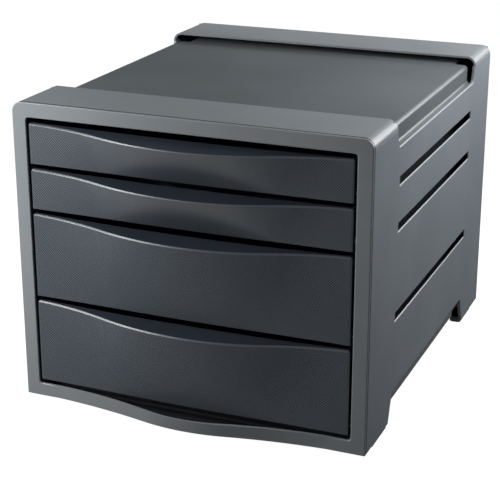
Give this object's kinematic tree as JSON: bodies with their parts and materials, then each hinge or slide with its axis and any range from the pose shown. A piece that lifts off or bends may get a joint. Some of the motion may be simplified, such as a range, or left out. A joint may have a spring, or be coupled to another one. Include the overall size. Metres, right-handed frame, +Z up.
{
  "type": "desktop drawer cabinet",
  "caption": "Desktop cabinet for letter-size papers: sliding trays with wave-lipped fronts stacked in a moulded housing on feet, with a recessed top.",
  "frame": {"origin": "on the ground under the middle of the cabinet's outer box, grip lips included", "axes": "+Z up, drawers open toward -Y, +X to the right seen from the front"},
  "size_m": [0.285, 0.3547, 0.243],
  "materials": {
    "housing": "grey moulded plastic, semi-gloss",
    "inner_panel": "dark grey moulded plastic, matte",
    "drawer_front": "anthracite moulded plastic with a fine dot texture",
    "tray": "anthracite moulded plastic, satin",
    "pad": "black non-slip rubber"
  },
  "bodies": {
    "housing": {"front_bezel": "housing", "front_top_rail": "housing", "rear_hood": "housing", "top_panel": "housing", "base_panel": "inner_panel", "back_panel": "inner_panel", "left_side_panel": "housing", "right_side_panel": "housing", "foot_pad_front_left": "pad", "foot_pad_rear_left": "pad", "foot_pad_front_right": "pad", "foot_pad_rear_right": "pad"},
    "drawer_1": {"drawer_1_tray": "tray", "drawer_1_front": "drawer_front"},
    "drawer_2": {"drawer_2_tray": "tray", "drawer_2_front": "drawer_front"},
    "drawer_3": {"drawer_3_tray": "tray", "drawer_3_front": "drawer_front"},
    "drawer_4": {"drawer_4_tray": "tray", "drawer_4_front": "drawer_front"}
  },
  "joints": [
    {"name": "drawer_1_slide", "type": "slide", "parent": "housing", "child": "drawer_1", "axis": [0, -1, 0], "range_m": [0, 0.235]},
    {"name": "drawer_2_slide", "type": "slide", "parent": "housing", "child": "drawer_2", "axis": [0, -1, 0], "range_m": [0, 0.235]},
    {"name": "drawer_3_slide", "type": "slide", "parent": "housing", "child": "drawer_3", "axis": [0, -1, 0], "range_m": [0, 0.235]},
    {"name": "drawer_4_slide", "type": "slide", "parent": "housing", "child": "drawer_4", "axis": [0, -1, 0], "range_m": [0, 0.235]}
  ]
}
